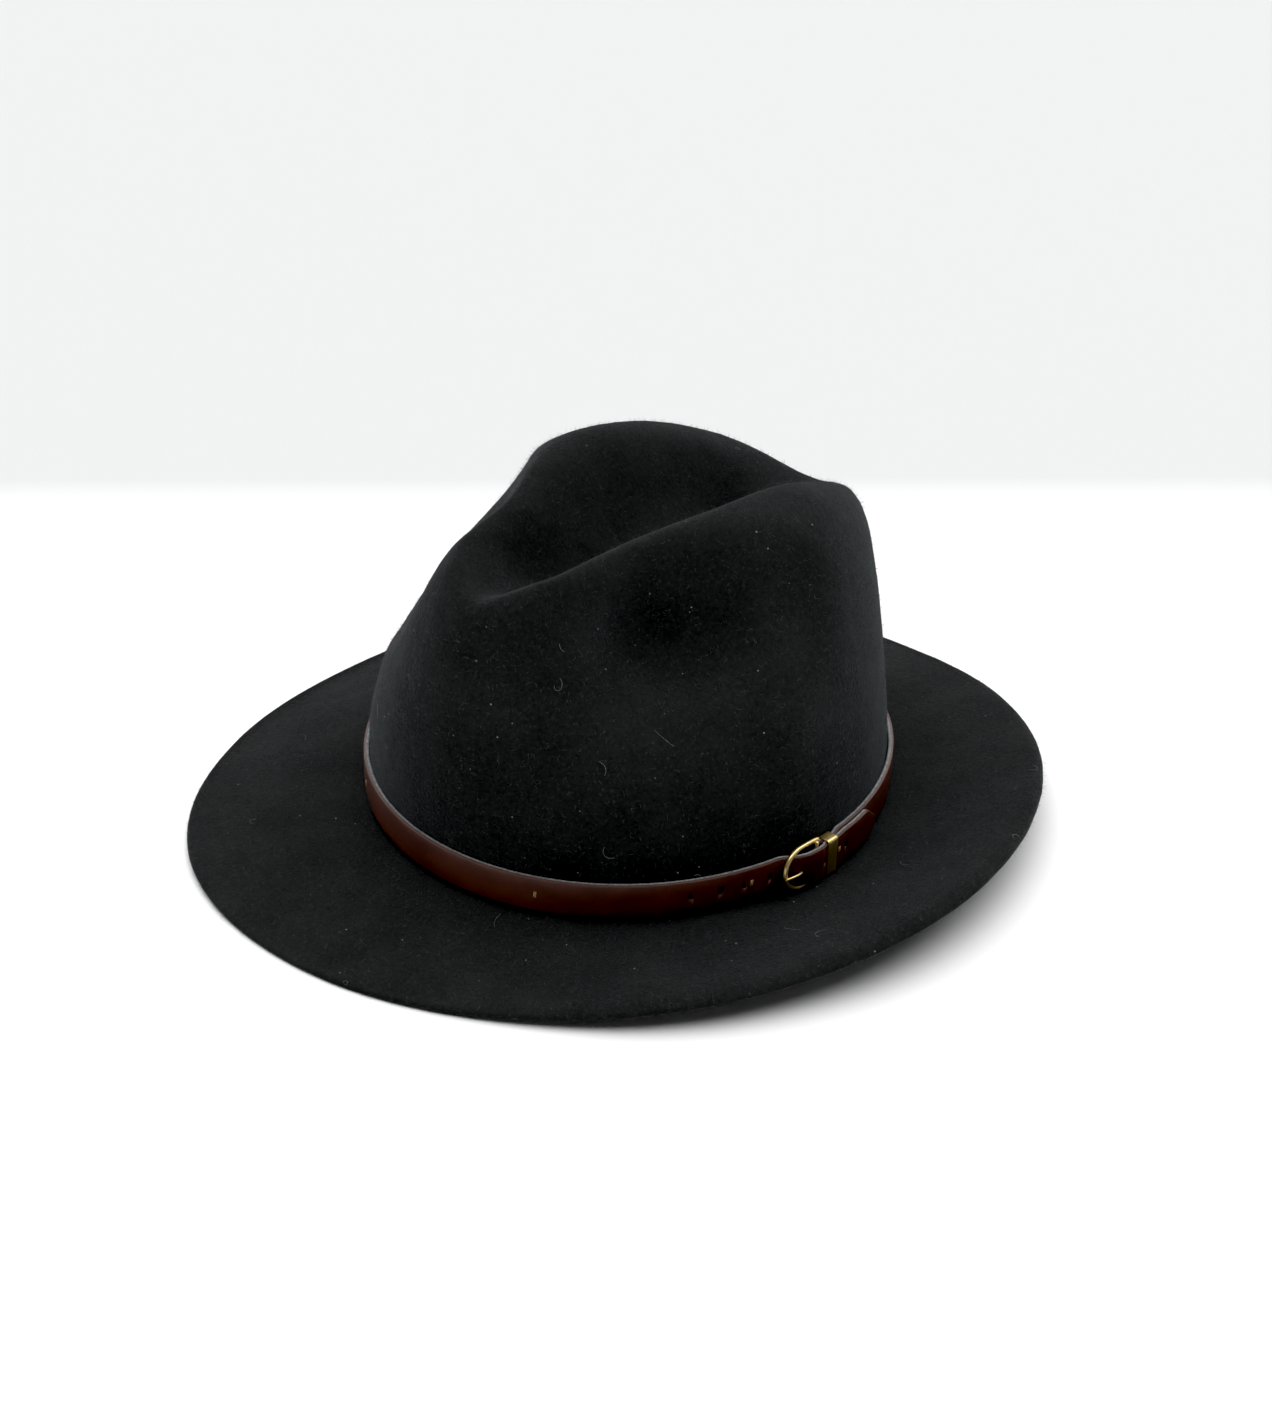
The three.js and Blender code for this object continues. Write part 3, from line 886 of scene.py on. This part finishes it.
def band_run():
    """The band's sections all the way round, close together, and closest by the buckle."""
    rows = list(BAND_START)
    start = rows[-1]
    last = LAP + BAND_END[0]["along"]
    count = round((last - start["along"]) / BAND_STEP)
    for k in range(1, count):
        rows.append({**start, "along": start["along"] + (last - start["along"]) * k / count})
    rows += [{**row, "along": LAP + row["along"]} for row in BAND_END]
    places = []
    at = rows[0]["along"]
    while at < rows[-1]["along"]:
        places.append(at)
        nearness = min(abs(at - rows[0]["along"] - 6), abs(at - LAP))
        at += FINE_STEP if nearness < FINE_REACH else COARSE_STEP
    places.append(rows[-1]["along"])
    keys = ("inside", "above", "below")
    return [{"along": at, **{key: smooth_rows(rows, key, at) for key in keys}} for at in places]


def band_ring(row, thickness, rounding, shrink=0.0):
    """The band's section: a rounded strip whose face is a little crowned."""
    inner, outer = row["inside"] + shrink, row["inside"] + thickness - shrink
    top, bottom = row["above"] - shrink, -row["below"] + shrink
    corners = [(outer, bottom, -45), (outer, top, 45), (inner, top, 135), (inner, bottom, 225)]
    ring = []
    for offset, up, facing in corners:
        centre = Vector((
            offset - rounding * math.copysign(1, math.cos(math.radians(facing))),
            up - rounding * math.copysign(1, math.sin(math.radians(facing))),
        ))
        for turn in (-45, -15, 15, 45):
            angle = math.radians(facing + turn)
            ring.append(centre + Vector((math.cos(angle), math.sin(angle))) * rounding)
        if facing == 45:
            ring.append(Vector((inner + thickness * EDGE_SHARE, top)))
        if facing == -45:
            for part in (0.25, 0.5, 0.75):
                up_here = bottom + (top - bottom) * part
                ring.append(Vector((outer + 0.12 * math.sin(math.pi * part), up_here)))
    return [band_point(row["along"], offset, up) for offset, up in ring]


def fold_rings():
    """The band's skived end, folded round the buckle's bar."""
    radius = BAR_RADIUS + GAP + SKIVED / 2
    half = BAR_HALF - FRAME_RADIUS - GAP
    deep = SKIVED / 2
    rings = []
    for k in range(13):
        angle = math.pi / 2 + math.pi * k / 12
        ring = []
        for depth, up in ((-deep, -half), (-deep, half), (deep, half), (deep, -half)):
            reach = radius + depth
            ring.append(bar_point(reach * math.cos(angle), up, BAR_OFFSET + reach * math.sin(angle)))
        rings.append(ring)
    return rings


def punch_holes(piece):
    """Cuts the band's round holes through it."""
    bm = bmesh.new()
    for along in HOLES_ALONG:
        over = along > -10
        start = band_point(along, 2.3 if over else -3.0, 0.0)
        end = band_point(along, 12.0, 0.0)
        ahead = end - start
        bmesh.ops.create_cone(
            bm, cap_ends=True, segments=20, radius1=HOLE_RADIUS * MM, radius2=HOLE_RADIUS * MM,
            depth=ahead.length, matrix=standing_at((start + end) / 2, ahead),
        )
    punch = new_object("punch", bm)
    mesh = punch.data
    cut = piece.modifiers.new("holes", "BOOLEAN")
    cut.object = punch
    cut.solver = "EXACT"
    apply_modifiers(piece)
    bpy.data.objects.remove(punch)
    bpy.data.meshes.remove(mesh)


class FEDORA_OT_band(bpy.types.Operator):
    """Make the leather band with its overlap, clipped tip and punched holes"""

    bl_idname = "fedora.band"
    bl_label = "Leather Band"

    def execute(self, context):
        settings = context.scene.fedora_band
        thickness = settings.thickness / MM
        rounding = settings.edge_round / MM
        bm = bmesh.new()
        rows = band_run()
        rings = [band_ring(row, thickness, rounding) for row in rows]
        rings.insert(0, band_ring(rows[0], thickness, rounding * 0.6, shrink=rounding * 0.4))
        last = dict(rows[-1], along=rows[-1]["along"] + 0.3)
        rings.append(band_ring(last, thickness, rounding * 0.6, shrink=rounding * 0.5))
        loops = sweep(bm, rings)
        place = {vert: k for loop in loops for k, vert in enumerate(loop)}
        for face in bm.faces:
            if all(RAW_FROM <= place[vert] <= RAW_TO for vert in face.verts):
                face.material_index = 1
        fold = bmesh.new()
        sweep(fold, fold_rings())
        materials = [band_leather(settings), raw_edge(settings)]
        piece = make_piece("leather_band", bm, materials, ["band_strap"])
        punch_holes(piece)
        shade_smooth(piece.data)
        make_piece("bar_fold", fold, [materials[0]], smooth=False)
        return {"FINISHED"}


# The buckle

class FEDORA_OT_buckle(bpy.types.Operator):
    """Make the buckle's round frame, its prong and the flat keeper in brass"""

    bl_idname = "fedora.buckle"
    bl_label = "Brass Buckle"

    def execute(self, context):
        settings = context.scene.fedora_buckle
        brass = aged_brass(settings)
        sides = settings.wire_sides
        self.make_frame(brass, sides)
        self.make_prong(brass, sides)
        self.make_keeper(brass)
        return {"FINISHED"}

    def make_frame(self, brass, sides):
        """The bent wire and its straight bar."""
        slope = (FRAME_END_OFFSET - BAR_OFFSET) / FRAME_REACH
        middle, half = (FRAME_TOP + FRAME_BOTTOM) / 2, (FRAME_TOP - FRAME_BOTTOM) / 2
        places = [(1.4, FRAME_TOP - 0.7), (0.0, FRAME_TOP - 0.4), (-FRAME_STRAIGHT / 2, FRAME_TOP - 0.1)]
        for k in range(13):
            angle = math.pi / 2 + math.pi * k / 12
            x = -FRAME_STRAIGHT + (FRAME_REACH - FRAME_STRAIGHT) * math.cos(angle)
            places.append((x, middle + half * math.sin(angle)))
        places += [(-FRAME_STRAIGHT / 2, FRAME_BOTTOM), (0.0, FRAME_BOTTOM)]
        points = [bar_point(x, y, BAR_OFFSET - slope * x - FRAME_TILT * (y - middle)) for x, y in places]
        run = smooth_run(points, 4)
        bm = bmesh.new()
        sweep(bm, tube_rings(run, [FRAME_RADIUS * MM] * len(run), sides))
        heights = (FRAME_BOTTOM, FRAME_BOTTOM / 2, 0.0, FRAME_TOP - 0.5)
        bar = [bar_point(0.0, up, BAR_OFFSET) for up in heights]
        sweep(bm, tube_rings(bar, [BAR_RADIUS * MM] * len(bar), sides))
        make_piece("brass_frame", bm, [brass], ["buckle_frame"])

    def make_prong(self, brass, sides):
        """The hooked wire that passes through the band and rests on the frame."""
        points = []
        for k in range(9):
            angle = math.radians(-180 + 270 * k / 8)
            out = BAR_OFFSET + HOOK_RADIUS * math.sin(angle)
            points.append(bar_point(HOOK_RADIUS * math.cos(angle), 0.0, out))
        points += [bar_point(row["along"], 0.0, row["offset"]) for row in PRONG_RUN]
        run = smooth_run(points, 4)
        radii = rounded_end(PRONG_RADIUS * MM, 3, len(run))
        bm = bmesh.new()
        sweep(bm, tube_rings(run, radii, sides))
        make_piece("brass_prong", bm, [brass], ["buckle_prong"])

    def make_keeper(self, brass):
        """The flat strip bent round both layers of the band."""
        back, front = KEEPER_BACK - KEEPER_THICK / 2, KEEPER_FRONT + KEEPER_THICK / 2
        half = BAND_WIDTH / 2 + GAP + KEEPER_THICK / 2
        centre_out = (back + front) / 2
        path = []
        corners = [(front, half, 0), (back, half, 90), (back, -half, 180), (front, -half, 270)]
        for offset, up, facing in corners:
            centre = Vector((
                offset - math.copysign(KEEPER_BEND, offset - centre_out),
                up - math.copysign(KEEPER_BEND, up),
            ))
            for k in range(5):
                angle = math.radians(facing + 90 * k / 4)
                way = Vector((math.cos(angle), math.sin(angle)))
                path.append((centre + way * KEEPER_BEND, way))
        middle = KEEPER_START + KEEPER_LENGTH / 2
        rings = []
        for spot, way in path:
            ring = []
            for along, depth in self.strip_section():
                ring.append(self.keeper_point(middle, along - middle, spot + way * depth))
            rings.append(ring)
        bm = bmesh.new()
        sweep(bm, rings, closed=True)
        make_piece("brass_keeper", bm, [brass], ["buckle_keeper"])

    def strip_section(self):
        """The strip's section with rounded edges: along the band, and out of the strip's middle."""
        ring = []
        radius = KEEPER_THICK * 0.42
        for along, facing in ((KEEPER_START + KEEPER_LENGTH, 0), (KEEPER_START, 180)):
            inward = -math.copysign(radius, math.cos(math.radians(facing)))
            for turn in (-80, -50, -20, 20, 50, 80):
                angle = math.radians(facing + turn)
                x = along + inward + radius * math.cos(angle)
                ring.append((x, KEEPER_THICK / 2 * math.sin(angle)))
        return ring

    def keeper_point(self, middle, along, place):
        """A place in the straight frame of the keeper's middle."""
        foot = band_point(middle, 0.0, 0.0)
        out = (band_point(middle, 1.0, 0.0) - foot).normalized()
        up = (band_point(middle, 0.0, 1.0) - foot).normalized()
        side = up.cross(out)
        return foot + (side * along + out * place.x + up * place.y) * MM


class FEDORA_OT_tacks(bpy.types.Operator):
    """Make the short thread tacks that hold the band to the felt"""

    bl_idname = "fedora.tacks"
    bl_label = "Thread Tacks"

    def execute(self, context):
        settings = context.scene.fedora_band
        bm = bmesh.new()
        for tack in TACKS:
            for side in (-0.28, 0.28):
                points = []
                for k in range(9):
                    part = k / 8
                    lift = tack["outside"] + 0.42 * math.sin(math.pi * part) ** 0.5 - 0.25
                    up = tack["up"] + tack["high"] * (part - 0.5)
                    points.append(band_point(tack["along"] + side + 0.2 * part, lift, up))
                sweep(bm, tube_rings(points, [THREAD_RADIUS * MM] * len(points), 8))
        make_piece("thread_tacks", bm, [tan_thread(settings)])
        return {"FINISHED"}


# The stage

def direction(turn, rise):
    """The way out from the middle at an angle about the upright and an angle above the floor."""
    return Vector((math.sin(turn) * math.cos(rise), -math.cos(turn) * math.cos(rise), math.sin(rise)))


class FEDORA_OT_stage(bpy.types.Operator):
    """Make the pale floor, the soft light and the camera"""

    bl_idname = "fedora.stage"
    bl_label = "Stage"

    def execute(self, context):
        settings = context.scene.fedora_stage
        self.make_floor(settings)
        self.make_wall(settings)
        self.make_light(context, settings)
        self.make_camera(context)
        return {"FINISHED"}

    def make_floor(self, settings):
        """A flat disc, with painted shade that makes it a little greyer behind the hat than round it."""
        bm = bmesh.new()
        bmesh.ops.create_circle(bm, cap_ends=True, segments=ROUND_FACES, radius=settings.floor_radius)
        material, tree, shader = new_surface("pale_floor", Roughness=0.9, Specular_IOR_Level=0.1)
        # Painted shade: past the horizon, away from the camera's heading, the floor turns greyer
        turned = add_node(tree, "ShaderNodeMapping")
        turned.inputs["Rotation"].default_value = (0.0, 0.0, -CAMERA_HEADING)
        tree.links.new(object_place(tree), turned.inputs["Vector"])
        split = add_node(tree, "ShaderNodeSeparateXYZ")
        tree.links.new(turned.outputs["Vector"], split.inputs["Vector"])
        low, high = settings.horizon - HORIZON_SOFTNESS, settings.horizon + HORIZON_SOFTNESS
        tint(tree, shader, split.outputs["Y"], low, high, settings.floor_near, settings.far_floor_shade)
        floor = new_object("pale_floor", bm, [material])

    def make_wall(self, settings):
        """A low wall where the floor ends, that faces the hat and glows evenly with painted light of its
        own.
        """
        radius = settings.floor_radius
        bm = bmesh.new()
        bmesh.ops.create_cone(
            bm, cap_ends=False, segments=ROUND_FACES, radius1=radius, radius2=radius,
            depth=WALL_HEIGHT, matrix=Matrix.Translation((0.0, 0.0, WALL_HEIGHT / 2)),
        )
        bmesh.ops.reverse_faces(bm, faces=bm.faces)
        # Painted light: the wall glows by its own emission, besides what the lamps give it
        glow = (*settings.wall_glow, 1.0)
        material, _tree, _shader = new_surface(
            "pale_wall", Roughness=0.9, Specular_IOR_Level=0.1, Base_Color=glow,
            Emission_Color=glow, Emission_Strength=WALL_GLOW_STRENGTH,
        )
        wall = new_object("pale_wall", bm, [material])

    def make_light(self, context, settings):
        """A large soft light overhead, a low one on each side and a weak even fill."""
        lean, turn = settings.light_back, settings.light_turn
        self.add_lamp(context, "soft_light", settings.light_power, settings.light_spread, lean, turn)
        for name, side in (("left_light", math.pi / 2), ("right_light", -math.pi / 2)):
            turn = CAMERA_HEADING + side
            self.add_lamp(context, name, settings.side_power, SIDE_LIGHT_SPREAD, SIDE_LIGHT_LEAN, turn)
        world = bpy.data.worlds.new("even_fill")
        world.use_nodes = True
        background = world.node_tree.nodes["Background"]
        background.inputs["Color"].default_value = FILL_COLOUR
        background.inputs["Strength"].default_value = settings.fill
        context.scene.world = world
        view = context.scene.view_settings
        view.view_transform = "Standard"
        view.use_curve_mapping = True
        view.curve_mapping.black_level = (settings.black_point,) * 3

    def add_lamp(self, context, name, power, spread, lean, turn):
        """A wide distant lamp that leans from overhead and is turned about the upright."""
        lamp = bpy.data.lights.new(name, "SUN")
        lamp.angle = spread
        lamp.energy = power
        holder = bpy.data.objects.new(name, lamp)
        holder.location = (0.0, 0.0, LAMP_HEIGHT)
        holder.rotation_euler = (-lean, 0.0, turn)
        context.scene.collection.objects.link(holder)

    def make_camera(self, context):
        """The camera at the fitted place, looking along the fitted direction."""
        lens = bpy.data.cameras.new("camera")
        lens.sensor_width = SENSOR
        lens.lens = SENSOR * FOCAL_PIXELS / IMAGE_HEIGHT
        camera = bpy.data.objects.new("camera", lens)
        context.scene.collection.objects.link(camera)
        reach = direction(CAMERA_AZIMUTH, CAMERA_ELEVATION) * CAMERA_DISTANCE
        back = direction(CAMERA_HEADING, CAMERA_PITCH)
        right = Vector((math.cos(CAMERA_HEADING), math.sin(CAMERA_HEADING), 0.0))
        right.rotate(Matrix.Rotation(CAMERA_ROLL, 3, back))
        upward = back.cross(right)
        turn = Matrix((right, upward, back)).transposed().to_4x4()
        crown_middle = Vector((CROWN_PLACE[0], CROWN_PLACE[1], 0.0)) * MM
        camera.matrix_world = Matrix.Translation(reach + crown_middle) @ turn
        context.scene.camera = camera


# The panel's boxes: the settings in each and the buttons under them
PANEL_ROWS = (
    ("fedora_felt", ("fedora.felt", "fedora.fuzz", "fedora.lint")),
    ("fedora_band", ("fedora.band", "fedora.tacks")),
    ("fedora_buckle", ("fedora.buckle",)),
    ("fedora_stage", ("fedora.stage",)),
)


class FEDORA_PT_panel(bpy.types.Panel):
    """Lists the hat's parts and their settings"""

    bl_label = "Fedora"
    bl_idname = "FEDORA_PT_panel"
    bl_space_type = "VIEW_3D"
    bl_region_type = "UI"
    bl_category = "Fedora"

    def draw(self, context):
        scene = context.scene
        for group, names in PANEL_ROWS:
            box = self.layout.box()
            settings = getattr(scene, group)
            for name in settings.__annotations__:
                box.prop(settings, name)
            for name in names:
                box.operator(name)


CLASSES = (
    FeltSettings,
    BandSettings,
    BuckleSettings,
    StageSettings,
    FEDORA_OT_felt,
    FEDORA_OT_fuzz,
    FEDORA_OT_lint,
    FEDORA_OT_band,
    FEDORA_OT_tacks,
    FEDORA_OT_buckle,
    FEDORA_OT_stage,
    FEDORA_PT_panel,
)

SETTINGS = {
    "fedora_felt": FeltSettings,
    "fedora_band": BandSettings,
    "fedora_buckle": BuckleSettings,
    "fedora_stage": StageSettings,
}


def register():
    """Registers the classes and gives every scene their settings."""
    for cls in CLASSES:
        bpy.utils.register_class(cls)
    for name, group in SETTINGS.items():
        setattr(bpy.types.Scene, name, PointerProperty(type=group))


def unregister():
    """Takes the settings and the classes away again."""
    for name in SETTINGS:
        delattr(bpy.types.Scene, name)
    for cls in reversed(CLASSES):
        bpy.utils.unregister_class(cls)


def main():
    """Registers everything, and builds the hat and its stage."""
    register()
    bpy.ops.fedora.felt()
    bpy.ops.fedora.fuzz()
    bpy.ops.fedora.lint()
    bpy.ops.fedora.band()
    bpy.ops.fedora.tacks()
    bpy.ops.fedora.buckle()
    bpy.ops.fedora.stage()


if __name__ == "__main__":
    main()
